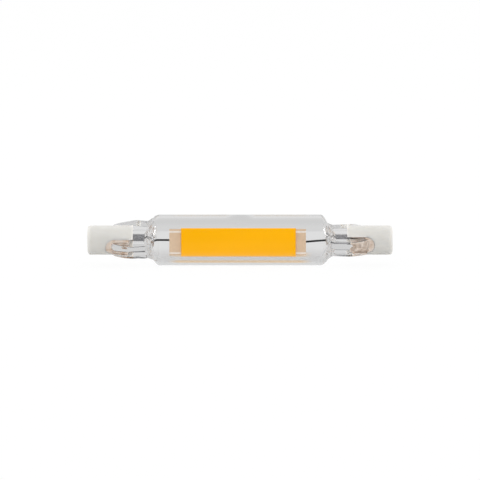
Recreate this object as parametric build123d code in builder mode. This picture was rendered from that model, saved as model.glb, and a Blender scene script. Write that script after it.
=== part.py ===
from build123d import *
import os
from math import cos, pi, radians, sin, sqrt

# Double-ended linear LED lamp: a clear glass tube, pressed flat at both ends, holds a coated LED board,
# and a slotted ceramic cap with a sunk contact is cemented on each pressed end.
# Millimetres. X runs along the lamp, Z is up, and the light leaves towards -Y.
# The origin is the middle of the tube, on its axis.

# Whole lamp
overall_length = 78.0
contact_depth = 1.55            # from a cap's end to its contact, 74.9 between the two contacts
fit_gap = 0.03                  # round a wire or plate that sits in a hole made for it

# Ceramic caps
cap_diameter = 7.5
cap_length = 11.6
cap_edge_radius = 0.8           # outer end
slot_width = 4.4
slot_depth = 7.0                # from the inner end to the round root
recess_diameter = 4.0
recess_chamfer = 0.3

# Contacts
head_diameter = 3.2
head_clearance = 0.1            # round the head, in its seat
head_thickness = 0.5            # at its rim
head_crown = 0.2
shank_diameter = 1.7

# Pressed glass ends
end_gap = 1.5                   # from the flag's outer face to the slot's root
flag_length = 8.85
flag_width = 11.4
flag_neck_width = 10.4          # where the flag leaves the shoulder
flag_end_width = 8.0            # at the outer face
flag_waist = 2.3                # from the shoulder to the widest place
flag_thickness = 4.0
flag_edge_radius = 0.5
flag_corner_radius = 0.8        # outer corners, seen on the broad side
channel_front = 3.4             # pressed thinner over the foil: the upper channel's reach to the front
channel_back = 2.4              # and to the back; the lower channel is turned round
channel_depth = 0.75
channel_start = 0.1             # from the shoulder
channel_ramp = 0.6
left_turn = 28.0                # the flag's front edge turned down, in degrees
right_turn = 17.0

# Glass tube
tube_diameter = 13.0
tube_wall = 2.15
shoulder_length = 3.4           # from the round tube to the flag
pinch_wall = 1.45               # glass between the flag and the end of the hollow
shoulder_steps = 6
flag_sink = 0.2                 # the shoulder ends this far under the flag's faces
flag_root = 1.9                 # the flag's bar starts this far inside the shoulder
hollow_end_height = 1.0
hollow_end_width = 7.4

# Tip-off, where the tube was sealed after filling
tip_height = 0.6                # above the tube
tip_base_radius = 2.8
tip_sink = 0.05                 # its foot lies this far under the tube's surface
tip_angle = 50.0                # above level, on the back
funnel_mouth_radius = 1.8       # exhaust hole, narrowing from the bore into the tip
funnel_throat_radius = 0.4
funnel_wall = 0.5               # glass between the funnel's end and the top of the tip
funnel_throat_length = 0.9

# Wires and foils in the pressed ends
inner_lead_diameter = 0.5
left_sag = 0.0                  # how far under the axis the inner lead is soldered to the board
right_sag = 0.42
sag_margin = 0.3                # its bends lie this far from the board's end and the hollow's end
sag_bend_radius = 1.5
outer_lead_diameter = 0.6
foil_width = 3.0
foil_length = 4.6
foil_thickness = 0.06
foil_offset = 0.14              # from the lamp's axis to the foil's near face
foil_taper = 1.0                # cut off its outer corners
weld_length = 1.2
left_lean = 0.0                 # how far the outer lead leans to the front in the flag
right_lean = 2.1
lean_start = 0.5                # how far to the front it starts, where it leans
lean_room = 0.5                 # from the place where it leans most to the flag's outer face
lead_bend_radius = 0.5

# Cement
cement_reach = 4.4              # along the flag, from its outer face
left_opening = 0.0              # length left open over the flag's front, where the lead shows
right_opening = 3.6
opening_back = 0.3              # the opening starts this far in front of the axis

# LED board
board_gap_left = 2.6            # from the end of the round tube to the board
board_gap_right = 3.8
board_clearance = 0.1           # between the coat's corner and the bore
board_thickness = 1.0
board_drop = 0.45               # the board's middle lies this far under the lamp's axis
board_back = 0.35               # from the lamp's axis to the board's back
track_thickness = 0.05
bus_margin = 0.45               # from the board's long edge to the printed line
bus_width = 0.4
pin_diameter = 0.36
pin_inset = 1.0                 # from the coat's end to the conductor pin

# Phosphor coat and the dies under it
bare_left = 3.0
bare_right = 2.6
coat_thickness = 0.6
coat_overhang = 0.2             # past the board's long edges
coat_lip = 0.35                 # how far it runs down them
coat_edge_radius = 0.35
die_length = 0.9
die_width = 0.5
die_thickness = 0.15
die_columns = 14
die_rows = 3
die_row_gap = 1.0
die_margin = 0.8                # from the coat's ends

# Parts on the board's back
pad_inset = 0.4
pad_length = 2.4
pad_width = 2.2
solder_radius = 0.95
solder_height = 0.75
fuse_length = 3.2
fuse_width = 1.6
fuse_height = 0.55
resistor_length = 2.0
resistor_width = 1.25
resistor_height = 0.5
resistor_pitch = 2.2
cap_band = 0.4                  # metal end of a chip resistor
band_step = 0.04                # the band stands this far proud
rectifier_length = 4.7
rectifier_width = 3.8
rectifier_height = 1.4
rectifier_pitch = 2.54
rectifier_pins = 2              # a side
regulator_length = 4.9
regulator_width = 3.9
regulator_height = 1.5
regulator_pitch = 1.27
regulator_pins = 4              # a side
package_standoff = 0.1
package_draft = 7.0
foot_width = 0.42
foot_thickness = 0.18
foot_reach = 0.85               # past the package's side
foot_length = 0.55
land_margin = 0.08
track_width = 0.5
edge_track_width = 0.22
edge_track_margin = 0.16

# Places that follow from the sizes
lamp_end = overall_length / 2
contact_face = lamp_end - contact_depth
head_back = contact_face - head_crown - head_thickness
cap_inner = lamp_end - cap_length
slot_root = cap_inner + slot_depth
flag_end = slot_root - end_gap
shoulder_end = flag_end - flag_length
tube_end = shoulder_end - shoulder_length
hollow_end = shoulder_end - pinch_wall
tube_radius = tube_diameter / 2
bore_radius = tube_radius - tube_wall
tip_foot = sqrt(tube_radius**2 - tip_base_radius**2) - tip_sink
tip_top = tube_radius + tip_height
funnel_mouth = sqrt(bore_radius**2 - funnel_mouth_radius**2)
funnel_end = tip_top - funnel_wall
foil_start = shoulder_end
foil_end = foil_start + foil_length
head_radius = head_diameter / 2
shank_radius = shank_diameter / 2
lead_stop = head_back
lead_leans = {"left": left_lean, "right": right_lean}
lead_sags = {"left": left_sag, "right": right_sag}
openings = {"left": left_opening, "right": right_opening}

board_left = -tube_end + board_gap_left
board_right = tube_end - board_gap_right
board_length = board_right - board_left
board_middle = (board_left + board_right) / 2
board_front = board_back + board_thickness
corner_depth = board_front + coat_thickness - coat_edge_radius
bore_reach = sqrt(bore_radius**2 - corner_depth**2)
board_width = 2 * (bore_reach - board_drop - coat_overhang - board_clearance)
coat_left = board_left + bare_left
coat_right = board_right - bare_right
coat_length = coat_right - coat_left
coat_middle = (coat_left + coat_right) / 2
die_spacing = (coat_length - 2 * die_margin - die_length) / (die_columns - 1)
die_row_spacing = die_width + die_row_gap
bus_place = board_width / 2 - bus_margin - bus_width / 2
lead_over_board = pad_inset + pad_length / 2 + inner_lead_diameter
lead_height = board_drop        # the lamp's axis lies this far above the board's middle

front_plane = Plane(origin=(0, -board_front, -board_drop), x_dir=(1, 0, 0), z_dir=(0, -1, 0))
back_plane = Plane(origin=(board_middle, -board_back, -board_drop), x_dir=(-1, 0, 0), z_dir=(0, 1, 0))
land_plane = back_plane.offset(track_thickness)

# Places along the board's back, from its right end, with even gaps between the parts
back_lengths = [pad_length, fuse_length, rectifier_length, regulator_length, resistor_length, pad_length]
back_gap = (board_length - 2 * pad_inset - sum(back_lengths)) / (len(back_lengths) - 1)
back_starts = [pad_inset - board_length / 2 + sum(back_lengths[:i]) + i * back_gap
               for i in range(len(back_lengths))]
back_places = [start + length / 2 for start, length in zip(back_starts, back_lengths)]
first_pad, fuse_place, rectifier_place, regulator_place, resistor_place, last_pad = back_places

ends = [("left", -1, left_turn), ("right", 1, right_turn)]


def end_plane(side, turn):
    """Plane across the lamp at one end: x along the flag's width, z out of the lamp."""
    down = radians(turn)
    return Plane(origin=(0, 0, 0), x_dir=(0, -cos(down), -sin(down)), z_dir=(side, 0, 0))


def flag_side(plane):
    """Plane through the axis that looks along the flag's width: x out of the lamp."""
    return Plane(origin=(0, 0, 0), x_dir=plane.z_dir, z_dir=plane.x_dir)


def flag_face(plane):
    """Plane through the axis in the flag: x out of the lamp, y along the flag's width."""
    return Plane(origin=(0, 0, 0), x_dir=plane.z_dir, z_dir=plane.y_dir)


def shoulder_sections(plane, start, end, round_radius, end_width, end_height):
    """Sections of a shoulder that goes from round to flat in an S curve."""
    with BuildSketch(plane.offset(start)) as section:
        Circle(round_radius)
    sections = [section.sketch]
    for i in range(1, shoulder_steps + 1):
        share = i / shoulder_steps
        fall = (1 - cos(pi * share)) / 2
        half_width = round_radius + (end_width / 2 - round_radius) * fall
        half_height = round_radius + (end_height / 2 - round_radius) * fall
        with BuildSketch(plane.offset(start + (end - start) * share)) as section:
            Ellipse(half_width, half_height)
        sections.append(section.sketch)
    return sections


def wire_section(plane, distance, diameter):
    """Round section of a wire on the axis."""
    with BuildSketch(plane.offset(distance)) as section:
        Circle(diameter / 2)
    return section.sketch


def inner_wire(plane, side, start, board_end, sag, diameter):
    """The inner lead: level behind the board, rising to the axis, and straight into the pressed glass."""
    upright = Plane(origin=(0, 0, 0), x_dir=plane.z_dir, z_dir=(0, -side, 0))
    stop = foil_start + weld_length
    with BuildPart() as wire:
        with BuildLine(upright) as path:
            if sag:
                FilletPolyline(
                    (start, -sag),
                    (board_end + sag_margin, -sag),
                    (hollow_end - sag_margin, 0),
                    (stop, 0),
                    radius=sag_bend_radius,
                )
            else:
                Line((start, 0), (stop, 0))
        with BuildSketch(Plane(origin=upright.from_local_coords(Vector(start, -sag, 0)), z_dir=plane.z_dir)):
            Circle(diameter / 2)
        sweep(path=path.wires()[0])
    return wire.part


def outer_wire(plane, lean, gap):
    """The outer lead: from the foil, leaning to the front in the flag, and back on the axis in the cement."""
    start = foil_end - weld_length - gap
    with BuildPart() as wire:
        with BuildLine(flag_face(plane)) as path:
            if lean:
                FilletPolyline(
                    (start, lean_start),
                    (foil_end - weld_length / 2, lean_start),
                    (flag_end - lean_room, lean),
                    (slot_root - lead_bend_radius, 0),
                    (lead_stop, 0),
                    radius=lead_bend_radius,
                )
            else:
                Line((start, 0), (lead_stop, 0))
        with BuildSketch(plane.offset(start)):
            with Locations((lean_start if lean else 0, 0)):
                Circle(outer_lead_diameter / 2 + gap)
        sweep(path=path.wires()[0])
    return wire.part


def foil_section(plane, side, distance, gap):
    """Section of the foil, which lies on the upper side of the wires."""
    middle = -side * (foil_offset + foil_thickness / 2)
    with BuildSketch(plane.offset(distance)) as section:
        with Locations((0, middle)):
            Rectangle(foil_width + 2 * gap, foil_thickness + 2 * gap)
    return section.sketch


def slot_outline(plane, width, inner):
    """Round-ended slot outline, open at the cap's inner end."""
    round_middle = slot_root - slot_width / 2
    with BuildSketch(flag_side(plane)) as outline:
        with Locations(((inner + round_middle) / 2, 0)):
            Rectangle(round_middle - inner, width)
        with Locations((round_middle, 0)):
            Circle(width / 2)
    return outline.sketch


# Pressed flags: broad bars with rounded corners, thinner along a channel over the foil
flags = {}
for side_name, side, turn in ends:
    plane = end_plane(side, turn)
    widest = shoulder_end + flag_waist
    with BuildPart() as flag:
        with BuildSketch(flag_face(plane)) as outline:
            with BuildLine():
                root = shoulder_end - flag_root
                inner = Line((root, 0), (root, flag_neck_width / 2))
                neck = Line(inner @ 1, (widest, flag_width / 2))
                side_arc = TangentArc(neck @ 1, (flag_end, flag_end_width / 2), tangent=neck % 1)
                Line(side_arc @ 1, (flag_end, 0))
                mirror(about=Plane.XZ)
            make_face()
            fillet(outline.vertices().group_by(Axis.X)[-1], radius=flag_corner_radius)
        extrude(amount=flag_thickness / 2, both=True)
        outwards = Axis((0, 0, 0), plane.z_dir)
        broad_faces = flag.faces().filter_by(Axis((0, 0, 0), plane.y_dir))
        fillet(broad_faces.edges().group_by(outwards)[1:], radius=flag_edge_radius)
        for upper in (1, -1):
            with BuildSketch(flag_side(plane).offset(-channel_back if upper > 0 else -channel_front)):
                with BuildLine():
                    ramp_start = shoulder_end + channel_start
                    face = upper * side * flag_thickness / 2
                    floor = upper * side * (flag_thickness / 2 - channel_depth)
                    Polyline(
                        (ramp_start, face),
                        (ramp_start + channel_ramp, floor),
                        (flag_end, floor),
                        (flag_end, face),
                        close=True,
                    )
                make_face()
            extrude(amount=channel_front + channel_back, mode=Mode.SUBTRACT)
    flags[side_name] = flag.part

# Glass envelope: round tube, two shoulders that run into the flags, and the tip-off on the back
tip_direction = (0, cos(radians(tip_angle)), sin(radians(tip_angle)))
tip_plane = Plane(origin=(0, 0, 0), x_dir=(1, 0, 0), z_dir=(0, -tip_direction[2], tip_direction[1]))
with BuildPart() as glass_envelope:
    with BuildSketch(Plane.YZ):
        Circle(tube_radius)
    extrude(amount=tube_end, both=True)
    for side_name, side, turn in ends:
        plane = end_plane(side, turn)
        under_flag = flag_thickness - 2 * flag_sink
        loft(shoulder_sections(plane, tube_end, shoulder_end, tube_radius, flag_neck_width, under_flag))
        add(flags[side_name])
    with BuildSketch(tip_plane):
        with BuildLine():
            Line((0, tip_foot), (tip_base_radius, tip_foot))
            Spline((tip_base_radius, tip_foot), (0, tip_top), tangents=((-1, 0), (-1, 0)))
            Line((0, tip_top), (0, tip_foot))
        make_face()
    revolve(axis=Axis((0, 0, 0), tip_direction))
    # Hollow
    with BuildSketch(Plane.YZ):
        Circle(bore_radius)
    extrude(amount=tube_end, both=True, mode=Mode.SUBTRACT)
    with BuildSketch(tip_plane):
        with BuildLine():
            Line((0, funnel_mouth), (funnel_mouth_radius, funnel_mouth))
            throat = (funnel_throat_radius, funnel_end - funnel_throat_length)
            Spline((funnel_mouth_radius, funnel_mouth), throat, tangents=((-1, 0.5), (0, 1)))
            Spline(throat, (0, funnel_end), tangents=((0, 1), (-1, 0)))
            Line((0, funnel_end), (0, funnel_mouth))
        make_face()
    revolve(axis=Axis((0, 0, 0), tip_direction), mode=Mode.SUBTRACT)
    for side_name, side, turn in ends:
        plane = end_plane(side, turn)
        hollow = shoulder_sections(
            plane, tube_end, hollow_end, bore_radius, hollow_end_width, hollow_end_height
        )
        loft(hollow, mode=Mode.SUBTRACT)
        # Room for the wires and the foil, which the glass closes on
        inner_hole = wire_section(plane, hollow_end, inner_lead_diameter + 2 * fit_gap)
        extrude(inner_hole, amount=foil_start + weld_length + fit_gap - hollow_end, mode=Mode.SUBTRACT)
        foil_slit = foil_section(plane, side, foil_start - fit_gap, fit_gap)
        extrude(foil_slit, amount=foil_length + 2 * fit_gap, mode=Mode.SUBTRACT)
        add(outer_wire(plane, lead_leans[side_name], fit_gap), mode=Mode.SUBTRACT)

# Pieces of each end, from the board outwards
board_ends = {"left": -board_left, "right": board_right}
end_pieces = {}
for side_name, side, turn in ends:
    plane = end_plane(side, turn)

    with BuildPart() as seal_foil:
        extrude(foil_section(plane, side, foil_start, 0), amount=foil_length)
        corners = seal_foil.edges().filter_by(Axis((0, 0, 0), plane.y_dir))
        chamfer(corners.group_by(Axis((0, 0, 0), plane.z_dir))[-1], length=foil_taper)

    with BuildPart() as inner_lead:
        board_end = board_ends[side_name]
        lead_start = board_end - lead_over_board
        add(inner_wire(plane, side, lead_start, board_end, lead_sags[side_name], inner_lead_diameter))
        # Flat where it is welded to the foil
        with BuildSketch(plane.offset(foil_start)):
            with Locations((0, -side * (foil_offset + inner_lead_diameter))):
                Rectangle(2 * inner_lead_diameter, 2 * inner_lead_diameter)
        extrude(amount=weld_length, mode=Mode.SUBTRACT)

    with BuildPart() as outer_lead:
        add(outer_wire(plane, lead_leans[side_name], 0))
        with BuildSketch(plane.offset(foil_end - weld_length)):
            with Locations((0, -side * (foil_offset + outer_lead_diameter))):
                Rectangle(foil_width, 2 * outer_lead_diameter)
        extrude(amount=weld_length, mode=Mode.SUBTRACT)

    with BuildPart() as cap:
        with BuildSketch(plane.offset(cap_inner)):
            Circle(cap_diameter / 2)
        extrude(amount=cap_length)
        outer_face = cap.faces().sort_by(Axis((0, 0, 0), plane.z_dir))[-1]
        fillet(outer_face.edges(), radius=cap_edge_radius)
        slot = slot_outline(plane, slot_width, cap_inner)
        extrude(slot, amount=cap_diameter, both=True, mode=Mode.SUBTRACT)
        with BuildSketch(plane.offset(lamp_end)):
            Circle(recess_diameter / 2)
        extrude(amount=contact_face - lamp_end, mode=Mode.SUBTRACT)
        with BuildSketch(plane.offset(contact_face)):
            Circle(head_radius + head_clearance)
        extrude(amount=head_back - contact_face, mode=Mode.SUBTRACT)
        mouth = cap.faces().sort_by(Axis((0, 0, 0), plane.z_dir))[-1].inner_wires()[0]
        chamfer(mouth.edges(), length=recess_chamfer)
        with BuildSketch(plane.offset(head_back)):
            Circle(shank_radius + fit_gap)
        extrude(amount=slot_root - head_back - slot_width / 2, mode=Mode.SUBTRACT)

    with BuildPart() as contact:
        with BuildSketch(flag_side(plane)):
            with BuildLine():
                wire_hole = outer_lead_diameter / 2 + fit_gap
                Polyline(
                    (lead_stop, 0),
                    (lead_stop, wire_hole),
                    (slot_root, wire_hole),
                    (slot_root, shank_radius),
                    (head_back, shank_radius),
                    (head_back, head_radius),
                    (head_back + head_thickness, head_radius),
                )
                TangentArc(
                    (contact_face, 0), (head_back + head_thickness, head_radius), tangent=(0, 1)
                )
                Line((contact_face, 0), (lead_stop, 0))
            make_face()
        revolve(axis=Axis((0, 0, 0), plane.z_dir))

    with BuildPart() as cement:
        cement_start = flag_end - cement_reach
        filling = slot_outline(plane, slot_width - 2 * fit_gap, cement_start)
        extrude(filling, amount=cap_diameter, both=True)
        with BuildSketch(plane.offset(cap_inner)):
            Circle(cap_diameter / 2 - fit_gap)
        extrude(amount=cap_length, mode=Mode.INTERSECT)
        add(flags[side_name], mode=Mode.SUBTRACT)
        if openings[side_name]:
            channel_floor = flag_thickness / 2 - channel_depth
            with BuildSketch(flag_side(plane).offset(opening_back)):
                with Locations((
                    cement_start + openings[side_name] / 2,
                    side * (channel_floor + slot_width / 2) / 2,
                )):
                    Rectangle(openings[side_name], slot_width / 2 - channel_floor)
            extrude(amount=cap_diameter, mode=Mode.SUBTRACT)
        add(outer_wire(plane, lead_leans[side_name], fit_gap), mode=Mode.SUBTRACT)

    end_pieces[f"seal_foil_{side_name}"] = seal_foil
    end_pieces[f"inner_lead_{side_name}"] = inner_lead
    end_pieces[f"outer_lead_{side_name}"] = outer_lead
    end_pieces[f"cap_{side_name}"] = cap
    end_pieces[f"contact_{side_name}"] = contact
    end_pieces[f"cement_{side_name}"] = cement

# LED board, with two holes for the pins that carry current from back to front
pin_places = [(coat_left + pin_inset, bus_place), (coat_right - pin_inset, -bus_place)]
with BuildPart() as led_board:
    with BuildSketch(front_plane):
        with Locations((board_middle, 0)):
            Rectangle(board_length, board_width)
        with Locations(*pin_places):
            Circle(pin_diameter / 2 + fit_gap, mode=Mode.SUBTRACT)
    extrude(amount=-board_thickness)

# Printed lines along the front's long edges
with BuildPart() as front_tracks:
    with BuildSketch(front_plane):
        with Locations((board_middle, bus_place), (board_middle, -bus_place)):
            Rectangle(board_length, bus_width)
    extrude(amount=track_thickness)

# Dies in rows under the coat
with BuildPart() as led_chips:
    with BuildSketch(front_plane):
        with Locations((coat_middle, 0)):
            with GridLocations(die_spacing, die_row_spacing, die_columns, die_rows):
                Rectangle(die_length, die_width)
    extrude(amount=die_thickness)

# Coat that covers the dies and runs a little way down the board's long edges
with BuildPart() as phosphor_coat:
    with BuildSketch(front_plane.offset(-coat_lip)):
        with Locations((coat_middle, 0)):
            Rectangle(coat_length, board_width + 2 * coat_overhang)
    extrude(amount=coat_lip + coat_thickness)
    fillet(phosphor_coat.faces().sort_by(Axis.Y)[0].edges(), radius=coat_edge_radius)
    add(led_board.part, mode=Mode.SUBTRACT)
    add(front_tracks.part, mode=Mode.SUBTRACT)
    add(led_chips.part, mode=Mode.SUBTRACT)
    with BuildSketch(front_plane):
        with Locations(*pin_places):
            Circle(pin_diameter / 2 + fit_gap)
    extrude(amount=-board_thickness, mode=Mode.SUBTRACT)


def chip_package(place, length, width, height, pitch, pins):
    """Moulded package on the board's back with bent feet along its two long sides."""
    with BuildPart() as package:
        with BuildSketch(land_plane.offset(package_standoff)):
            with Locations((place, 0)):
                Rectangle(length, width)
        extrude(amount=height - package_standoff, taper=package_draft)
        foot_plane = Plane(
            origin=land_plane.from_local_coords(Vector(place, 0, 0)),
            x_dir=land_plane.y_dir,
            z_dir=land_plane.x_dir,
        )
        for i in range(pins):
            with BuildSketch(foot_plane.offset((i - (pins - 1) / 2) * pitch)):
                with BuildLine():
                    side_face = width / 2
                    tip = side_face + foot_reach
                    heel = tip - foot_length
                    rise = height / 2
                    Polyline(
                        (0, rise),
                        (heel, rise),
                        (heel, foot_thickness),
                        (tip, foot_thickness),
                        (tip, 0),
                        (heel - foot_thickness, 0),
                        (heel - foot_thickness, rise - foot_thickness),
                        (0, rise - foot_thickness),
                        close=True,
                    )
                make_face()
                mirror(about=Plane.YZ)
            extrude(amount=foot_width / 2, both=True)
    return package


def foot_row(width):
    """Middle of the row of lands under a package's feet, from the package's middle line."""
    return width / 2 + foot_reach - (foot_length + foot_thickness) / 2


def chip_resistor(places, length, width, height):
    """Chip resistors on the board's back, each with a metal band round both ends."""
    with BuildPart() as resistor:
        with BuildSketch(land_plane):
            with Locations(*places):
                Rectangle(length, width)
        extrude(amount=height)
        with BuildSketch(land_plane.offset(height)):
            with Locations(*places):
                Rectangle(length - 2 * cap_band, width)
        extrude(amount=-band_step, mode=Mode.SUBTRACT)
    return resistor


bridge_rectifier = chip_package(
    rectifier_place, rectifier_length, rectifier_width, rectifier_height, rectifier_pitch, rectifier_pins
)
current_regulator = chip_package(
    regulator_place, regulator_length, regulator_width, regulator_height, regulator_pitch, regulator_pins
)
fuse_resistor = chip_resistor([(fuse_place, lead_height)], fuse_length, fuse_width, fuse_height)
resistor_rows = [(resistor_place, resistor_pitch / 2), (resistor_place, -resistor_pitch / 2)]
set_resistors = chip_resistor(resistor_rows, resistor_length, resistor_width, resistor_height)

# Printed conductors on the back: pads, lands under every foot and end band, and the lines between them.
# Two pins go through the board to the printed lines on the front.
rectifier_row = foot_row(rectifier_width)
regulator_row = foot_row(regulator_width)
edge_row = board_width / 2 - edge_track_margin
rectifier_left = rectifier_place - (rectifier_pins - 1) / 2 * rectifier_pitch
rectifier_right = rectifier_place + (rectifier_pins - 1) / 2 * rectifier_pitch
regulator_left = regulator_place - (regulator_pins - 1) / 2 * regulator_pitch
regulator_right = regulator_place + (regulator_pins - 1) / 2 * regulator_pitch
fuse_turn = fuse_place + (fuse_length + back_gap) / 2
resistor_turn = resistor_place - (resistor_length + back_gap) / 2
resistor_row = resistor_pitch / 2
resistor_inner = resistor_place - resistor_length / 2 + cap_band / 2
resistor_outer = resistor_place + resistor_length / 2 - cap_band / 2
back_pins = [(board_middle - x, y) for x, y in pin_places]
(plus_pin, plus_row), (minus_pin, minus_row) = back_pins
minus_line = lead_height - fuse_width / 2 - track_width
wide_routes = [
    [(first_pad, lead_height), (fuse_place - fuse_length / 2 + cap_band / 2, lead_height)],
    [(fuse_place + fuse_length / 2 - cap_band / 2, lead_height), (fuse_turn, lead_height),
     (fuse_turn, rectifier_row), (rectifier_left, rectifier_row)],
    [(rectifier_right, -rectifier_row), (regulator_left, -rectifier_row)],
    [(regulator_right, regulator_row), (resistor_turn, regulator_row),
     (resistor_turn, resistor_row), (resistor_inner, resistor_row)],
    [(regulator_right, -regulator_row), (resistor_turn, -regulator_row),
     (resistor_turn, -resistor_row), (resistor_inner, -resistor_row)],
    [(resistor_outer, resistor_row), (resistor_outer, -resistor_row)],
    [(minus_pin, minus_row), (minus_pin, minus_line), (regulator_place, minus_line)],
]
edge_routes = [
    [(rectifier_right, rectifier_row), (rectifier_right, edge_row), (plus_pin, edge_row),
     (plus_pin, plus_row)],
    [(last_pad, lead_height), (last_pad, -edge_row), (rectifier_left, -edge_row),
     (rectifier_left, -rectifier_row)],
]
with BuildPart() as back_tracks:
    with BuildSketch(back_plane):
        with Locations((first_pad, lead_height - right_sag), (last_pad, lead_height - left_sag)):
            Rectangle(pad_length, pad_width)
        with Locations((regulator_place, 0)):
            Rectangle(regulator_length - regulator_pitch, regulator_width - regulator_pitch)
        for place, row, length, width in (
            (fuse_place, lead_height, fuse_length, fuse_width),
            (resistor_place, resistor_row, resistor_length, resistor_width),
            (resistor_place, -resistor_row, resistor_length, resistor_width),
        ):
            land_shift = (length - cap_band) / 2
            with Locations((place - land_shift, row), (place + land_shift, row)):
                Rectangle(cap_band + 2 * land_margin, width + 2 * land_margin)
        for place, row, pitch, pins in (
            (rectifier_place, rectifier_row, rectifier_pitch, rectifier_pins),
            (regulator_place, regulator_row, regulator_pitch, regulator_pins),
        ):
            with Locations((place, 0)):
                with GridLocations(pitch, 2 * row, pins, 2):
                    Rectangle(foot_width + 2 * land_margin, foot_length + foot_thickness + 2 * land_margin)
        for routes, width in ((wide_routes, track_width), (edge_routes, edge_track_width)):
            for route in routes:
                for (x1, y1), (x2, y2) in zip(route, route[1:]):
                    with Locations(((x1 + x2) / 2, (y1 + y2) / 2)):
                        Rectangle(abs(x2 - x1) + width, abs(y2 - y1) + width)
        with Locations(*back_pins):
            Circle(pin_diameter / 2 + land_margin)
    extrude(amount=track_thickness)
    with BuildSketch(back_plane):
        with Locations(*back_pins):
            Circle(pin_diameter / 2)
    extrude(amount=-board_thickness)

# Solder over the end of each inner lead, on its pad
with BuildPart() as solder_joints:
    for side_name, side, turn in ends:
        pad_place = last_pad if side < 0 else first_pad
        sag = lead_sags[side_name]
        pad_middle = land_plane.from_local_coords(Vector(pad_place, lead_height - sag, 0))
        dome_plane = Plane(origin=pad_middle, x_dir=land_plane.x_dir, z_dir=-land_plane.y_dir)
        with BuildSketch(dome_plane):
            with BuildLine():
                Line((0, 0), (solder_radius, 0))
                TangentArc((0, solder_height), (solder_radius, 0), tangent=(1, 0))
                Line((0, solder_height), (0, 0))
            make_face()
        revolve(axis=Axis(pad_middle, land_plane.z_dir))
        board_end = board_ends[side_name]
        wire_start = board_end - lead_over_board - fit_gap
        wire_room = inner_wire(
            end_plane(side, turn), side, wire_start, board_end, sag, inner_lead_diameter + 2 * fit_gap
        )
        add(wire_room, mode=Mode.SUBTRACT)

pieces = {
    "glass_envelope": glass_envelope,
    "led_board": led_board,
    "front_tracks": front_tracks,
    "back_tracks": back_tracks,
    "led_chips": led_chips,
    "phosphor_coat": phosphor_coat,
    "bridge_rectifier": bridge_rectifier,
    "current_regulator": current_regulator,
    "fuse_resistor": fuse_resistor,
    "set_resistors": set_resistors,
    "solder_joints": solder_joints,
}
pieces.update(end_pieces)

os.makedirs("parts", exist_ok=True)
for name, piece in pieces.items():
    piece.part.label = name
    export_step(piece.part, f"parts/{name}.step")
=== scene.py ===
from math import cos, pi, radians, sin

import bmesh
import bpy
import numpy as np
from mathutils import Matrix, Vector


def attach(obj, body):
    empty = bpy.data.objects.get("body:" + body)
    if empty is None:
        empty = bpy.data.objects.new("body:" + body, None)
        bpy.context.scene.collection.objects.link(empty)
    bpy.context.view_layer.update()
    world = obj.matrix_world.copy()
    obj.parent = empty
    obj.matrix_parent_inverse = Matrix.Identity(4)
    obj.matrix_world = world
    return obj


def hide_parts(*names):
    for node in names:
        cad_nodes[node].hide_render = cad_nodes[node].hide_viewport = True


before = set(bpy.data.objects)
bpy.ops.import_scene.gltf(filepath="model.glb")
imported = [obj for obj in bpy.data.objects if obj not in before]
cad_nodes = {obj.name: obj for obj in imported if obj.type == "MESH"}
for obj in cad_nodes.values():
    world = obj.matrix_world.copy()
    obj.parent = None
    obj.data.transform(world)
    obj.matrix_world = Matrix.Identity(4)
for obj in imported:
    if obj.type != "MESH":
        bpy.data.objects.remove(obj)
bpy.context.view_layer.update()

MM = 0.001                       # sizes are in millimetres, meshes in metres

# Tube, shoulders and hollow; a start or an end is a distance from the lamp's middle
TUBE_RADIUS = 6.5
BORE_RADIUS = 4.35
TUBE_END = 20.65
SHOULDER_END = 24.05
HOLLOW_END = 22.6
HOLLOW_HALF_WIDTH = 3.7
HOLLOW_HALF_HEIGHT = 0.5
HOLLOW_ROUND = 0.4
HOLLOW_CLOSED = 0.998            # share of the rounding past which a flat face closes the hollow

# Tip-off and the funnel under it
TIP_ANGLE = 50.0                 # above level at the back, in degrees
TIP_HEIGHT = 0.5
TIP_RADIUS = 2.8
FUNNEL_DEPTH = 0.9
FUNNEL_RADIUS = 4.4

# Flags
LEFT_TURN = 28.0                 # how far each flag's front edge is turned down, in degrees
RIGHT_TURN = 17.0
FLAG_ROOT = 22.15
FLAG_WAIST = 26.35
FLAG_END = 32.87                 # a hair short of the cement
BAR_START = FLAG_ROOT - 0.3      # where the oval of the shoulder begins to turn into a bar
NECK_HALF_WIDTH = 5.2
WAIST_HALF_WIDTH = 5.7
END_HALF_WIDTH = 4.0             # at the flag's outer face
FLAG_HALF_THICKNESS = 1.97
FLAG_CORNER = 0.8
FLAG_EDGE = 0.5
UPPER_FRONT_EDGE = 0.22          # the upper front edge is sharper than the others

# The channel in each broad side of a flag, with its reach from the flag's middle to the front and back
UPPER_CHANNEL_FRONT = 3.4
LOWER_CHANNEL_FRONT = 2.5
CHANNEL_BACK = 1.15
UPPER_CEMENTED_BACK = 2.4        # wider at the back where cement fills it
LOWER_CEMENTED_BACK = 3.4
CHANNEL_DEPTH = 0.75
CHANNEL_DRAFT = 0.06
CHANNEL_EDGE = 0.16
CHANNEL_RIM_EDGE = 0.36
CHANNEL_START = 23.85
CHANNEL_RAMP = 0.7

# Cement; a pair of distances is where something rises or fades
CEMENT_START = 28.5
CHANNEL_WIDENING = (CEMENT_START - 0.9, CEMENT_START - 0.1)
CEMENT_BOND = 0.06               # growth of the flag where no air lies between it and the cement
BOND_RISE = (CEMENT_START - 0.2, CEMENT_START)
LEFT_BOND_FADE = (CEMENT_START + 0.9, CEMENT_START + 1.2)

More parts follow.
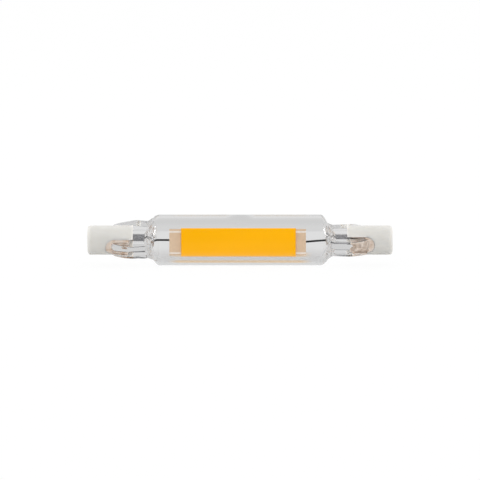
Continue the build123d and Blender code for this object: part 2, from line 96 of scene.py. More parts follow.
# Where the press left more glass; a growth is a share of the distance from the lamp's axis
UPPER_LEFT_GROWTH = 0.105
LOWER_RIGHT_GROWTH = 0.085
GROWTH_DEPTH = (2.2, 4.0)        # none nearer to the axis, all of it farther out
GROWTH_RISE = (20.9, 22.2)
LEFT_GROWTH_FADE = (26.4, 29.2)
RIGHT_GROWTH_FADE = (32.2, FLAG_END + 0.4)
ROOT_GROWTH = 0.06
ROOT_GROWTH_MIDDLE = 22.5
ROOT_GROWTH_REACH = 0.5
LOWER_LEFT_GROWTH = 0.05
LOWER_LEFT_MIDDLE = 24.5
LOWER_LEFT_REACH = 0.8

# Cement smeared over the front edge of the right flag, where its slot is open
SMEAR_START = 28.2
SMEAR_END = 32.8
SMEAR_BOTTOM = -0.5
SMEAR_TOP = 1.8
SMEAR_LIFT = 0.1                 # half of it over the glass, and half under it at the smear's edges
SMEAR_THICKNESS = 0.2
SMEAR_WAVES = ((0.35, 2.6, 0.8), (0.2, 6.1, 0.0))    # size, closeness and shift of its ragged edge
SMEAR_INNER_THINNING = 0.25      # shares of the smear over which its edges thin out
SMEAR_OUTER_THINNING = 0.1
SMEAR_SIDE_THINNING = 0.3
SMEAR_COLUMNS = 70
SMEAR_ROWS = 36
EDGE_TURNED = 0.98               # share of the flag's edge that the smear can follow

# Points in a quarter of a glass section, counted along the flag's outline
SIDE_POINTS = 7
CORNER_POINTS = 10
RIM_POINTS = 7
CHANNEL_EDGE_POINTS = 6
FLOOR_POINTS = 15
QUARTER_POINTS = SIDE_POINTS + CORNER_POINTS + RIM_POINTS + 2 * CHANNEL_EDGE_POINTS + FLOOR_POINTS
SIDES = 4 * (QUARTER_POINTS - 1)
OVAL_SAMPLES = 1500

# Sections along the glass, closer together at the tip-off
FINE_REACH = 4.6
FINE_STEP = 0.2
COARSE_STEP = 1.6
SHOULDER_SECTIONS = 39
FLAG_SECTIONS = 33
FLAG_EDGE_SECTIONS = 7
HOLLOW_SECTIONS = 29
HOLLOW_ROUND_SECTIONS = 9

SMOOTH_ANGLE = radians(50)       # sharper edges stay hard


def in_metres(sizes):
    return [size * MM for size in sizes]


def smooth_step(low, high, value):
    """0 below low, 1 above high and a soft rise between them."""
    share = np.clip((np.asarray(value) - low) / (high - low), 0.0, 1.0)
    return share * share * (3 - 2 * share)


def hump(value, middle, reach):
    """1 at the middle and a soft fall to both sides."""
    return np.exp(-(((value - middle) / reach) ** 2))


# Modelling steps

def deselect():
    bpy.ops.object.select_all(action="DESELECT")


def turn_faces(inwards=False):
    """Turns the faces of the active piece outwards, or inwards on the skin of a hollow."""
    bpy.ops.object.mode_set(mode="EDIT")
    bpy.ops.mesh.select_all(action="SELECT")
    bpy.ops.mesh.normals_make_consistent(inside=inwards)
    bpy.ops.object.mode_set(mode="OBJECT")


def roughen(piece, depth, grain, detail, group=""):
    """Cloudy dents and lumps in the active piece, all over or in one group of its points."""
    clouds = bpy.data.textures.new(f"{piece.name}_clouds", "CLOUDS")
    clouds.noise_scale = grain * MM
    clouds.noise_depth = detail
    dents = piece.modifiers.new("dents", "DISPLACE")
    dents.texture = clouds
    dents.texture_coords = "LOCAL"
    dents.strength = depth * MM
    dents.mid_level = 0.5
    dents.vertex_group = group
    bpy.ops.object.modifier_apply(modifier=dents.name)


# Glass envelope; u runs across a flag to its front edge, v through its thickness and downwards

def all_round(lower_front, lower_back, upper_front, upper_back):
    """The whole outline from four quarters, each from an edge of the flag to the middle of a broad side."""
    lower = np.vstack([lower_front[:-1], lower_back[::-1] * (-1, 1)])
    upper = np.vstack([upper_front[:-1], upper_back[::-1] * (-1, 1)])
    return np.vstack([lower, upper[-2:0:-1] * (1, -1)])


def oval(half_width, half_height):
    """Points round an oval, evenly spaced in each quarter."""
    turn = np.linspace(0, pi / 2, OVAL_SAMPLES)
    u = half_width * np.cos(turn)
    v = half_height * np.sin(turn)
    run = np.concatenate([[0], np.cumsum(np.hypot(np.diff(u), np.diff(v)))])
    stops = np.linspace(0, run[-1], QUARTER_POINTS)
    quarter = np.column_stack([np.interp(stops, run, u), np.interp(stops, run, v)])
    return all_round(quarter, quarter, quarter, quarter)


def arc(middle, radius, start, end, count):
    """Points on an arc between two angles in degrees."""
    turn = np.radians(np.linspace(start, end, count))
    return np.column_stack([middle[0] + radius * np.cos(turn), middle[1] + radius * np.sin(turn)])


def bar_quarter(half_width, half_height, edge, wall, channel):
    """A quarter of the flag's outline: narrow side, edge, rim, and the channel from its wall inwards."""
    wall = min(wall, half_width - edge - CHANNEL_DRAFT - CHANNEL_EDGE - CHANNEL_RIM_EDGE)
    top = (wall + CHANNEL_DRAFT + CHANNEL_RIM_EDGE, -CHANNEL_RIM_EDGE)
    foot = (wall - CHANNEL_DRAFT - CHANNEL_EDGE, CHANNEL_EDGE - CHANNEL_DEPTH)
    floor_u = np.linspace(foot[0], 0, FLOOR_POINTS + 1)[1:]
    pressed = np.vstack([
        arc(top, CHANNEL_RIM_EDGE, 90, 180, CHANNEL_EDGE_POINTS),
        arc(foot, CHANNEL_EDGE, 0, -90, CHANNEL_EDGE_POINTS),
        np.column_stack([floor_u, np.full(FLOOR_POINTS, -CHANNEL_DEPTH)]),
    ])
    pressed = pressed * (1, channel) + (0, half_height)
    side_v = np.linspace(0, half_height - edge, SIDE_POINTS + 1)[:-1]
    side = np.column_stack([np.full(SIDE_POINTS, half_width), side_v])
    corner = arc((half_width - edge, half_height - edge), edge, 0, 90, CORNER_POINTS)
    rim_u = np.linspace(half_width - edge, top[0], RIM_POINTS + 2)[1:-1]
    rim = np.column_stack([rim_u, np.full(RIM_POINTS, half_height)])
    return np.vstack([side, corner, rim, pressed])


def rounded_bar(half_width, half_height, bond, channel, cemented):
    """Points round the flag, with a channel in each broad side; all but its lower front is bonded."""
    lower_back = CHANNEL_BACK + (LOWER_CEMENTED_BACK - CHANNEL_BACK) * cemented
    upper_back = CHANNEL_BACK + (UPPER_CEMENTED_BACK - CHANNEL_BACK) * cemented
    quarters = (
        (half_height, FLAG_EDGE, LOWER_CHANNEL_FRONT),
        (half_height + bond, FLAG_EDGE, lower_back),
        (half_height + bond, UPPER_FRONT_EDGE, UPPER_CHANNEL_FRONT),
        (half_height + bond, FLAG_EDGE, upper_back),
    )
    return all_round(*(bar_quarter(half_width, *quarter, channel) for quarter in quarters))


def across_lamp(u, v, turn):
    """Y and Z of a place that is given in a flag's own directions."""
    down = radians(turn)
    return -cos(down) * u + sin(down) * v, -sin(down) * u - cos(down) * v


def glass_ring(x, turn, outline):
    """One section of the glass across the lamp, turned with its flag."""
    return np.column_stack([np.full(SIDES, x), *across_lamp(*outline.T, turn)])


# The flag's outline past its waist is an arc that goes on from its neck
neck_lean = (WAIST_HALF_WIDTH - NECK_HALF_WIDTH) / (FLAG_WAIST - FLAG_ROOT)
arc_normal = np.array([neck_lean, -1]) / np.hypot(neck_lean, 1)
arc_chord = np.array([FLAG_END - FLAG_WAIST, END_HALF_WIDTH - WAIST_HALF_WIDTH])
arc_radius = arc_chord @ arc_chord / (2 * arc_chord @ arc_normal)
arc_middle = np.array([FLAG_WAIST, WAIST_HALF_WIDTH]) + arc_radius * arc_normal


def flag_half_width(distance):
    """Half the flag's width, this far from the lamp's middle."""
    if distance < FLAG_WAIST:
        return NECK_HALF_WIDTH + neck_lean * (distance - FLAG_ROOT)
    width = arc_middle[1] + np.sqrt(arc_radius**2 - (distance - arc_middle[0]) ** 2)
    past_corner = np.clip((distance - FLAG_END + FLAG_CORNER) / FLAG_CORNER, 0, 1)
    return width - FLAG_CORNER * (1 - np.sqrt(1 - past_corner**2))


def cement_bond(x):
    """Growth of the flag in the cement: all along at the right, over its first part at the left."""
    bonded = smooth_step(*BOND_RISE, abs(x))
    if x < 0:
        bonded = bonded * (1 - smooth_step(*LEFT_BOND_FADE, -x))
    return CEMENT_BOND * bonded


def outer_section(x):
    """Outline of the glass's outside: an oval in the shoulder that turns into the flag's bar."""
    distance = abs(x)
    share = np.clip((distance - TUBE_END) / (SHOULDER_END - TUBE_END), 0, 1)
    fall = (1 - cos(pi * share)) / 2
    half_width = TUBE_RADIUS + (flag_half_width(distance) - TUBE_RADIUS) * fall
    half_height = TUBE_RADIUS + (FLAG_HALF_THICKNESS - TUBE_RADIUS) * fall
    past_edge = np.clip((distance - FLAG_END + FLAG_EDGE) / FLAG_EDGE, 0, 1)
    rounding = FLAG_EDGE * (1 - np.sqrt(1 - past_edge**2))
    half_width = half_width - rounding
    half_height = half_height - rounding
    channel = smooth_step(CHANNEL_START, CHANNEL_START + CHANNEL_RAMP, distance) * (1 - past_edge / 2)
    cemented = smooth_step(*CHANNEL_WIDENING, distance)
    bar = rounded_bar(half_width, half_height, cement_bond(x), channel, cemented)
    flat = smooth_step(BAR_START, SHOULDER_END, distance)
    return oval(half_width, half_height) * (1 - flat) + bar * flat


def hollow_section(distance):
    """Outline of the hollow, which flattens towards its rounded end."""
    share = np.clip((distance - TUBE_END) / (HOLLOW_END - TUBE_END), 0, 1)
    fall = (1 - cos(pi * share)) / 2
    half_width = BORE_RADIUS + (HOLLOW_HALF_WIDTH - BORE_RADIUS) * fall
    half_height = BORE_RADIUS + (HOLLOW_HALF_HEIGHT - BORE_RADIUS) * fall
    past_end = np.clip((distance - HOLLOW_END) / HOLLOW_ROUND, 0, HOLLOW_CLOSED)
    closing = np.sqrt(1 - past_end**2)
    return oval(half_width - HOLLOW_ROUND * (1 - closing), half_height * closing)


def turn_at(x):
    """Turn of the section at this place: each flag's own, and a slow change along the tube."""
    share = np.clip((x + TUBE_END) / (2 * TUBE_END), 0, 1)
    return LEFT_TURN + (RIGHT_TURN - LEFT_TURN) * share


def with_tip(ring, height, radius):
    """Raises the points of a ring that lie at the tip-off."""
    axis = np.array([0, cos(radians(TIP_ANGLE)), sin(radians(TIP_ANGLE))])
    along = ring @ axis
    beside = np.linalg.norm(ring - np.outer(along, axis), axis=1)
    lift = height * smooth_step(0, radius, radius - beside) * (along > 0)
    return ring + np.outer(lift, axis)


def fuller(points):
    """Grows the left end's upper side, the right end's lower side and a spot under the left end."""
    x, y, z = points.T
    left = x < 0
    distance = np.abs(x)
    radius = np.hypot(y, z)
    upper = z / np.maximum(radius, GROWTH_DEPTH[0]) * smooth_step(*GROWTH_DEPTH, radius)
    side = np.clip(np.where(left, upper, -upper), 0, 1)
    fade = np.where(
        left, smooth_step(*LEFT_GROWTH_FADE, distance), smooth_step(*RIGHT_GROWTH_FADE, distance))
    along_flag = np.where(left, UPPER_LEFT_GROWTH, LOWER_RIGHT_GROWTH) * (1 - fade)
    at_root = ROOT_GROWTH * hump(distance, ROOT_GROWTH_MIDDLE, ROOT_GROWTH_REACH)
    growth = 1 + (along_flag + at_root) * side * smooth_step(*GROWTH_RISE, distance)
    lower_left = np.clip(-upper, 0, 1) * left
    growth = growth + LOWER_LEFT_GROWTH * lower_left * hump(distance, LOWER_LEFT_MIDDLE, LOWER_LEFT_REACH)
    return np.column_stack([x, y * growth, z * growth])


def places_along(*end_places):
    """Places of the sections from the left end to the right one; both ends are alike."""
    fine = np.arange(-FINE_REACH, FINE_REACH + FINE_STEP / 2, FINE_STEP)
    coarse = np.arange(FINE_REACH + COARSE_STEP, TUBE_END, COARSE_STEP)
    right = np.concatenate([coarse, *end_places])
    return np.concatenate([-right[::-1], fine, right])


def draw_out(name, rings):
    """A closed skin drawn out of one ring: its rim is extruded and pressed to each next section in turn."""
    deselect()
    bpy.ops.mesh.primitive_circle_add(vertices=SIDES, radius=TUBE_RADIUS * MM)
    skin = bpy.context.object
    skin.name = skin.data.name = name
    bpy.ops.object.mode_set(mode="EDIT")
    mesh = bmesh.from_edit_mesh(skin.data)
    order = mesh.verts.layers.int.new("order")
    for i, point in enumerate(mesh.verts):
        point[order] = i
    for i, ring in enumerate(rings):
        if i:
            bpy.ops.mesh.extrude_region()
            mesh = bmesh.from_edit_mesh(skin.data)
            order = mesh.verts.layers.int["order"]
        for point in mesh.verts:
            if point.select:
                point.co = Vector(ring[point[order]]) * MM
        bmesh.update_edit_mesh(skin.data)
    bpy.ops.mesh.edge_face_add()
    bpy.ops.mesh.select_all(action="DESELECT")
    bpy.ops.mesh.select_non_manifold()
    bpy.ops.mesh.edge_face_add()
    return skin


def crumple(skin, start, end, depth, grain):
    """Uneven surface left by the press, between two distances from the lamp's middle at both ends."""
    group = skin.vertex_groups.new(name="pressed")
    fade = (end - start) / 3
    for point in skin.data.vertices:
        distance = abs(point.co.x) / MM
        weight = smooth_step(start, start + fade, distance) * (1 - smooth_step(end - fade, end, distance))
        if weight > 0:
            group.add([point.index], float(weight), "REPLACE")
    roughen(skin, depth, grain, detail=2, group=group.name)


outer_places = places_along(
    np.linspace(TUBE_END, SHOULDER_END, SHOULDER_SECTIONS, endpoint=False),
    np.linspace(SHOULDER_END, FLAG_END - FLAG_EDGE, FLAG_SECTIONS, endpoint=False),
    FLAG_END - FLAG_EDGE * (1 - np.sin(np.linspace(0, pi / 2, FLAG_EDGE_SECTIONS))),
)
outer_rings = [
    fuller(with_tip(glass_ring(x, turn_at(x), outer_section(x)), TIP_HEIGHT, TIP_RADIUS))
    for x in outer_places
]
glass_tube = draw_out("glass_tube", outer_rings)
turn_faces()
crumple(glass_tube, start=22.3, end=24.1, depth=0.14, grain=0.5)

hollow_places = places_along(
    np.linspace(TUBE_END, HOLLOW_END, HOLLOW_SECTIONS, endpoint=False),
    HOLLOW_END + HOLLOW_ROUND * np.sin(np.linspace(0, pi / 2, HOLLOW_ROUND_SECTIONS)),
)
hollow_rings = [
    with_tip(glass_ring(x, turn_at(x), hollow_section(abs(x))), FUNNEL_DEPTH, FUNNEL_RADIUS)
    for x in hollow_places
]
hollow_skin = draw_out("hollow_skin", hollow_rings)
turn_faces(inwards=True)
crumple(hollow_skin, start=21.4, end=23.2, depth=0.3, grain=0.6)

deselect()
hollow_skin.select_set(True)
glass_tube.select_set(True)
bpy.context.view_layer.objects.active = glass_tube
bpy.ops.object.join()
bpy.ops.object.shade_smooth_by_angle(angle=SMOOTH_ANGLE)


# Cement smear

def smear_place(along, across):
    """Place on the smear; along is 0 to 1 towards the cap, across is -1 to 1 from its bottom to its top."""
    ragged = sum(size * sin(closeness * across + shift) for size, closeness, shift in SMEAR_WAVES)
    x = SMEAR_START + ragged * (1 - along) + (SMEAR_END - SMEAR_START) * along
    height = SMEAR_BOTTOM + (SMEAR_TOP - SMEAR_BOTTOM) * (across + 1) / 2
    edge = UPPER_FRONT_EDGE if height > 0 else FLAG_EDGE
    past_side = np.clip((abs(height) - FLAG_HALF_THICKNESS + edge) / edge, 0, EDGE_TURNED)
    inside = min(
        along / SMEAR_INNER_THINNING,
        (1 - along) / SMEAR_OUTER_THINNING,
        (1 - abs(across)) / SMEAR_SIDE_THINNING,
        1.0,
    )
    u = flag_half_width(x) - edge * (1 - np.sqrt(1 - past_side**2))
    u += SMEAR_LIFT * (float(smooth_step(0, 1, inside)) - 0.5)
    return fuller(np.array([[x, *across_lamp(u, -height, RIGHT_TURN)]]))[0]


deselect()
bpy.ops.mesh.primitive_grid_add(x_subdivisions=SMEAR_COLUMNS, y_subdivisions=SMEAR_ROWS, size=1.0)
cement_smear = bpy.context.object
cement_smear.name = cement_smear.data.name = "cement_smear"
bpy.ops.object.mode_set(mode="EDIT")
sheet = bmesh.from_edit_mesh(cement_smear.data)
for point in sheet.verts:
    point.co = Vector(smear_place(point.co.x + 0.5, 2 * point.co.y)) * MM
bmesh.update_edit_mesh(cement_smear.data)
bpy.ops.object.mode_set(mode="OBJECT")
roughen(cement_smear, depth=0.16, grain=0.5, detail=3)
layer = cement_smear.modifiers.new("layer", "SOLIDIFY")
layer.thickness = SMEAR_THICKNESS * MM
layer.offset = 0.0
bpy.ops.object.modifier_apply(modifier=layer.name)
turn_faces()
bpy.ops.object.shade_smooth_by_angle(angle=SMOOTH_ANGLE)


# Steps in a material or in the room's light

def new_material(name):
    material = bpy.data.materials.new(name)
    material.use_nodes = True
    return material


def feed(tree, socket, given):
    """Sets an input to a value, or links it where an output is given."""
    if isinstance(given, bpy.types.NodeSocket):
        tree.links.new(given, socket)
    else:
        socket.default_value = given


def worked_out(tree, operation, *values, clamped=False):
    """Result of a sum, with numbers or outputs as its values."""
    node = tree.nodes.new("ShaderNodeMath")
    node.operation = operation
    node.use_clamp = clamped
    for socket, value in zip(node.inputs, values):
        feed(tree, socket, value)
    return node.outputs["Value"]


def carried_over(tree, value, low_high, result, soft=False):
    """Carries a value from one range over to another, in a straight line or softly."""
    node = tree.nodes.new("ShaderNodeMapRange")
    node.interpolation_type = "SMOOTHSTEP" if soft else "LINEAR"
    names = ("Value", "From Min", "From Max", "To Min", "To Max")
    for name, given in zip(names, (value, *low_high, *result)):
        feed(tree, node.inputs[name], given)
    return node.outputs["Result"]


def mixed(tree, share, first, second):
    """First shader where the share is 0, second where it is 1."""
    node = tree.nodes.new("ShaderNodeMixShader")
    for socket, given in zip(node.inputs, (share, first, second)):
        tree.links.new(given, socket)
    return node.outputs["Shader"]


def split_axes(tree, coordinates):
    """X, Y and Z of the chosen coordinates."""
    place = tree.nodes.new("ShaderNodeTexCoord")
    split = tree.nodes.new("ShaderNodeSeparateXYZ")
    tree.links.new(place.outputs[coordinates], split.inputs["Vector"])
    return split.outputs


def ray_kinds(tree):
    return tree.nodes.new("ShaderNodeLightPath").outputs


def through_or_mirrored(tree, rays):
    """1 for what is seen through glass or in a shiny surface."""
    return worked_out(tree, "MAXIMUM", rays["Is Glossy Ray"], rays["Is Transmission Ray"])


def object_noise(tree, scale, stretch=(1, 1, 1), detail=3.0):
    """Noise on the piece's own coordinates, stretched along X, Y and Z; scale counts per metre."""
    place = tree.nodes.new("ShaderNodeTexCoord")
    mapping = tree.nodes.new("ShaderNodeMapping")
    mapping.inputs["Scale"].default_value = stretch
    noise = tree.nodes.new("ShaderNodeTexNoise")
    noise.inputs["Scale"].default_value = scale
    noise.inputs["Detail"].default_value = detail
    noise.inputs["Roughness"].default_value = 0.55
    tree.links.new(place.outputs["Object"], mapping.inputs["Vector"])
    tree.links.new(mapping.outputs["Vector"], noise.inputs["Vector"])
    return noise.outputs["Fac"]


NOISE_SPREAD = (0.3, 0.7)        # noise lies between these nearly everywhere


def blended(tree, factor, colours, spread=NOISE_SPREAD):
    """Colours that follow one another evenly over the spread of a factor."""
    ramp = tree.nodes.new("ShaderNodeValToRGB")
    elements = ramp.color_ramp.elements
    while len(elements) < len(colours):
        elements.new(0.5)
    for element, place, colour in zip(elements, np.linspace(*spread, len(colours)), colours):
        element.position = place
        element.color = (*colour, 1)
    tree.links.new(factor, ramp.inputs["Fac"])
    return ramp.outputs["Color"]


def add_bump(tree, height, depth):
    """Fine relief in the shading, from a 0 to 1 height; depth is in millimetres."""
    bump = tree.nodes.new("ShaderNodeBump")
    bump.inputs["Distance"].default_value = depth * MM
    tree.links.new(height, bump.inputs["Height"])
    tree.links.new(bump.outputs["Normal"], tree.nodes["Principled BSDF"].inputs["Normal"])


def give_finish(piece, finish):
    piece.data.materials.clear()
    piece.data.materials.append(finish)


# Finishes

def clear_glass():
    """Faint draw lines along the tube; lamp light and scattered light pass straight through."""
    material = new_material("clear_glass")
    tree = material.node_tree
    shader = tree.nodes["Principled BSDF"]
    shader.inputs["Base Color"].default_value = (1, 1, 1, 1)
    shader.inputs["Transmission Weight"].default_value = 1.0
    shader.inputs["IOR"].default_value = 1.47
    shader.inputs["Specular Tint"].default_value = (0.22, 0.22, 0.22, 1)
    shader.inputs["Roughness"].default_value = 0.0
    draw_lines = object_noise(tree, 1400, stretch=(0.03, 1, 1))
    add_bump(tree, draw_lines, depth=0.003)
    straight = tree.nodes.new("ShaderNodeBsdfTransparent")
    straight.inputs["Color"].default_value = (0.98, 0.98, 0.98, 1)
    rays = ray_kinds(tree)
    unbent = worked_out(tree, "MAXIMUM", rays["Is Shadow Ray"], rays["Is Diffuse Ray"])
    surface = mixed(tree, unbent, shader.outputs["BSDF"], straight.outputs["BSDF"])
    tree.links.new(surface, tree.nodes["Material Output"].inputs["Surface"])
    return material


def mottled(name, colours, scale, stretch=(1, 1, 1), roughness=(0.5, 0.7), metallic=0.0, gloss=0.5,
            bump_depth=0.01, light_depth=None):
    """Opaque finish: cloudy colour, uneven gloss and a fine grain."""
    material = new_material(name)
    tree = material.node_tree
    shader = tree.nodes["Principled BSDF"]
    clouds = object_noise(tree, scale, stretch)
    grain = object_noise(tree, scale * 5, stretch, detail=2.0)
    feed(tree, shader.inputs["Base Color"], blended(tree, clouds, colours))
    feed(tree, shader.inputs["Roughness"], carried_over(tree, grain, (0, 1), roughness))
    shader.inputs["Metallic"].default_value = metallic
    shader.inputs["Specular IOR Level"].default_value = gloss
    if light_depth:
        shader.inputs["Subsurface Weight"].default_value = 1.0
        shader.inputs["Subsurface Radius"].default_value = (1.0, 0.95, 0.88)
        shader.inputs["Subsurface Scale"].default_value = light_depth * MM
    add_bump(tree, grain, bump_depth)
    return material


give_finish(glass_tube, clear_glass())
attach(glass_tube, "root")
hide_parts("glass_envelope")

WIRE_STRETCH = (0.1, 1, 1)
finishes = {
    "cap_left cap_right": mottled(
        "white_ceramic", [(0.575, 0.565, 0.538), (0.615, 0.605, 0.578)], 220,
        roughness=(0.55, 0.75), light_depth=1.2),
    "cement_left cement_right": mottled(
        "tan_cement", [(0.5, 0.37, 0.27), (0.62, 0.53, 0.46), (0.68, 0.61, 0.55)], 900,
        roughness=(0.7, 0.9), bump_depth=0.05, light_depth=0.8),
    "contact_left contact_right": mottled(
        "plated_contact", [(0.6, 0.58, 0.53), (0.7, 0.68, 0.63)], 700,
        roughness=(0.2, 0.35), metallic=1.0),
    "outer_lead_left": mottled(
        "heat_tinted_wire", [(0.36, 0.2, 0.12), (0.5, 0.32, 0.2)], 1500,
        stretch=WIRE_STRETCH, roughness=(0.4, 0.6), metallic=0.3, gloss=0.3),
    "inner_lead_left inner_lead_right outer_lead_right": mottled(
        "dark_wire", [(0.009, 0.008, 0.009), (0.02, 0.019, 0.02)], 1500,
        stretch=WIRE_STRETCH, roughness=(0.4, 0.6), metallic=0.3, gloss=0.3),
    "seal_foil_left seal_foil_right": mottled(
        "grey_foil", [(0.31, 0.31, 0.325), (0.39, 0.39, 0.405)], 1200,
        stretch=(0.2, 1, 1), roughness=(0.2, 0.35), metallic=1.0),
    "led_board": mottled(
        "tan_board", [(0.565, 0.415, 0.28), (0.64, 0.475, 0.33)], 1400,
        roughness=(0.5, 0.65)),
    "front_tracks back_tracks": mottled(
        "silver_print", [(0.7, 0.64, 0.58), (0.77, 0.71, 0.65)], 1600,
        roughness=(0.35, 0.5)),
    "phosphor_coat": mottled(
        "yellow_coat", [(0.87, 0.405, 0.0), (0.91, 0.425, 0.001)], 120,
        stretch=(0.5, 1, 1), roughness=(0.4, 0.55), gloss=0.0),
    "led_chips": mottled(
        "die_crystal", [(0.5, 0.55, 0.45), (0.6, 0.65, 0.55)], 2000,
        roughness=(0.1, 0.2)),
    "bridge_rectifier current_regulator": mottled(
        "black_moulding", [(0.02, 0.02, 0.021), (0.035, 0.035, 0.036)], 1800),
    "fuse_resistor set_resistors": mottled(
        "dark_glaze", [(0.02, 0.022, 0.025), (0.04, 0.04, 0.045)], 1800,
        roughness=(0.2, 0.35)),
    "solder_joints": mottled(
        "bright_solder", [(0.62, 0.62, 0.63), (0.72, 0.72, 0.73)], 1500,
        roughness=(0.2, 0.4), metallic=1.0),
}
give_finish(cement_smear, mottled(
    "damp_cement", [(0.34, 0.26, 0.2), (0.52, 0.45, 0.395), (0.68, 0.62, 0.57)], 1100,
    roughness=(0.25, 0.6), bump_depth=0.06, light_depth=0.4))
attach(cement_smear, "root")
for names, finish in finishes.items():
    for name in names.split():
        give_finish(cad_nodes[name], finish)


# Studio: white floor and room, soft light from above; a brightness of 1 is white

FLOOR_DROP = 6.55
FLOOR_SIZE = 10000.0
FLOOR_SHADES = [(0.81, 0.81, 0.81), (0.83, 0.83, 0.83)]
FLOOR_BEHIND = 0.68              # the floor's brightness, behind and in front, as seen through the glass
FLOOR_IN_FRONT = 0.55
FLOOR_MIRRORED = 0.95            # and in front in a mirror image
FLOOR_CHANGE = (-2.0, 20.0)      # from in front to behind
GLOW_IN_GLASS = 0.85             # shares of glow; the rest is the lit floor with its shadow
GLOW_TO_CAMERA = 0.93
# Painted bounce light: a warm strip on the floor near the board, shown only in the glass
STRIP_COLOUR = (1.22, 0.85, 0.46)
STRIP_ENDS = (19.0, 15.0)
STRIP_MIDDLE = 3.5               # behind the lamp's axis
STRIP_EDGES = (4.2, 3.0)         # to both sides of its middle


def white_floor():
    """White to the camera, grey through the glass, with a painted strip of warm bounce light that is seen
    in the glass alone.
    """
    material = new_material("white_floor")
    tree = material.node_tree
    shader = tree.nodes["Principled BSDF"]
    feed(tree, shader.inputs["Base Color"], blended(tree, object_noise(tree, 60), FLOOR_SHADES))
    shader.inputs["Roughness"].default_value = 0.9
    shader.inputs["Specular IOR Level"].default_value = 0.0
    rays = ray_kinds(tree)
    x, y, _ = split_axes(tree, "Object")
    # Through the glass, the floor is dimmer in front than behind, partly painted shade for the lamp's
    # shadow close to it; in a mirror image it is the other way
    front = carried_over(tree, rays["Is Transmission Ray"], (0, 1), (FLOOR_MIRRORED, FLOOR_IN_FRONT))
    depth = carried_over(tree, y, in_metres(FLOOR_CHANGE), (front, FLOOR_BEHIND), soft=True)
    # Painted warm light, standing in for light thrown down by the board, seen in the foot of the tube
    under_board = carried_over(
        tree, worked_out(tree, "ABSOLUTE", x), in_metres(STRIP_ENDS), (0, 1), soft=True)
    off_strip = worked_out(tree, "ABSOLUTE", worked_out(tree, "SUBTRACT", y, STRIP_MIDDLE * MM))
    near_strip = carried_over(tree, off_strip, in_metres(STRIP_EDGES), (0, 1), soft=True)
    on_strip = worked_out(tree, "MULTIPLY", under_board, near_strip)
    warmth = worked_out(tree, "SUBTRACT", on_strip, rays["Is Camera Ray"], clamped=True)
    glow = tree.nodes.new("ShaderNodeEmission")
    feed(tree, glow.inputs["Strength"], carried_over(tree, rays["Is Camera Ray"], (0, 1), (depth, 1.0)))
    feed(tree, glow.inputs["Color"], blended(tree, warmth, [(1, 1, 1), STRIP_COLOUR], (0, 1)))
    in_glass = worked_out(tree, "MULTIPLY", through_or_mirrored(tree, rays), GLOW_IN_GLASS)
    to_camera = worked_out(tree, "MULTIPLY", rays["Is Camera Ray"], GLOW_TO_CAMERA)
    share = worked_out(tree, "MAXIMUM", in_glass, to_camera)
    surface = mixed(tree, share, shader.outputs["BSDF"], glow.outputs["Emission"])
    tree.links.new(surface, tree.nodes["Material Output"].inputs["Surface"])
    return material


deselect()
bpy.ops.mesh.primitive_plane_add(size=FLOOR_SIZE * MM, location=(0, 0, -FLOOR_DROP * MM))
floor = bpy.context.object
floor.name = "studio_floor"
floor.data.materials.append(white_floor())

DAYLIGHT = (1.5, 1.0)            # from level to straight above
ROOM_SHADES = (0.66, 0.62)       # low and high in the room, as glass and metal show it
ROOM_HEIGHTS = (0.1, 0.5)
MIRRORED_FRONT = 0.35            # a mirror image of the room is dimmer in front
ROOM_DEPTHS = (-0.3, 0.3)


def background(tree, brightness):
    node = tree.nodes.new("ShaderNodeBackground")
    node.inputs["Color"].default_value = (1, 1, 1, 1)
    feed(tree, node.inputs["Strength"], brightness)
    return node.outputs["Background"]


world = bpy.data.worlds.new("studio")
bpy.context.scene.world = world
world.use_nodes = True
room = world.node_tree
room.nodes.clear()
rays = ray_kinds(room)
_, y, z = split_axes(room, "Generated")
daylight = background(room, carried_over(room, z, (0, 1), DAYLIGHT))
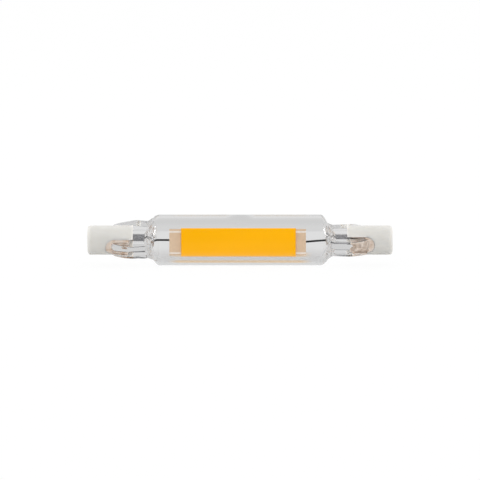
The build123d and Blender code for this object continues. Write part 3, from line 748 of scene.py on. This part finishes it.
# Through the glass, the room is pale grey all round; in a mirror image its front is dark
front = carried_over(room, rays["Is Transmission Ray"], (0, 1), (MIRRORED_FRONT, 1.0))
depth = carried_over(room, y, ROOM_DEPTHS, (front, 1.0), soft=True)
height = carried_over(room, z, ROOM_HEIGHTS, ROOM_SHADES, soft=True)
grey_room = background(room, worked_out(room, "MULTIPLY", depth, height))
indirect = mixed(room, through_or_mirrored(room, rays), daylight, grey_room)
surroundings = mixed(room, rays["Is Camera Ray"], indirect, background(room, 1.0))
output = room.nodes.new("ShaderNodeOutputWorld")
room.links.new(surroundings, output.inputs["Surface"])


def softbox(name, place, turn, width, depth, energy):
    """Area lamp that isn't seen through the glass."""
    bpy.ops.object.light_add(type="AREA", location=place, rotation=turn)
    box = bpy.context.object
    box.name = name
    box.data.shape = "RECTANGLE"
    box.data.size = width * MM
    box.data.size_y = depth * MM
    box.data.energy = energy
    box.visible_transmission = False
    return box


overhead = softbox(
    "overhead_softbox", in_metres((0, 50, 700)), (0, 0, 0), width=900, depth=600, energy=0.8)
overhead.visible_glossy = False
# A soft box at each side is there to be mirrored in the shoulders, and leaves matt surfaces as they are
for side, name in ((-1, "left_softbox"), (1, "right_softbox")):
    place = Vector(in_metres((side * 280, 75, 80)))
    towards_lamp = (-place).to_track_quat("-Z", "Y").to_euler()
    side_box = softbox(name, place, towards_lamp, width=110, depth=100, energy=0.38)
    side_box.visible_diffuse = False

# Camera as in the photograph: straight on, a little above, with a long lens
VIEW_WIDTH = 122.95              # across the picture at the lamp
CAMERA_DISTANCE = 900.0
CAMERA_RISE = radians(8)
SENSOR_WIDTH = 36.0
bpy.ops.object.camera_add(
    location=in_metres((0, -CAMERA_DISTANCE * cos(CAMERA_RISE), CAMERA_DISTANCE * sin(CAMERA_RISE))),
    rotation=(pi / 2 - CAMERA_RISE, 0, 0),
)
camera = bpy.context.object
camera.data.sensor_width = SENSOR_WIDTH
camera.data.lens = SENSOR_WIDTH * CAMERA_DISTANCE / VIEW_WIDTH
camera.data.clip_start = 0.01
camera.data.clip_end = 50.0
scene = bpy.context.scene
scene.camera = camera
scene.view_settings.view_transform = "Standard"
# Light that is caught in the pressed glass needs many bounces to come out
GLASS_BOUNCES = 72
scene.cycles.max_bounces = GLASS_BOUNCES
scene.cycles.diffuse_bounces = 16
scene.cycles.glossy_bounces = GLASS_BOUNCES
scene.cycles.transmission_bounces = GLASS_BOUNCES
scene.cycles.transparent_max_bounces = 32
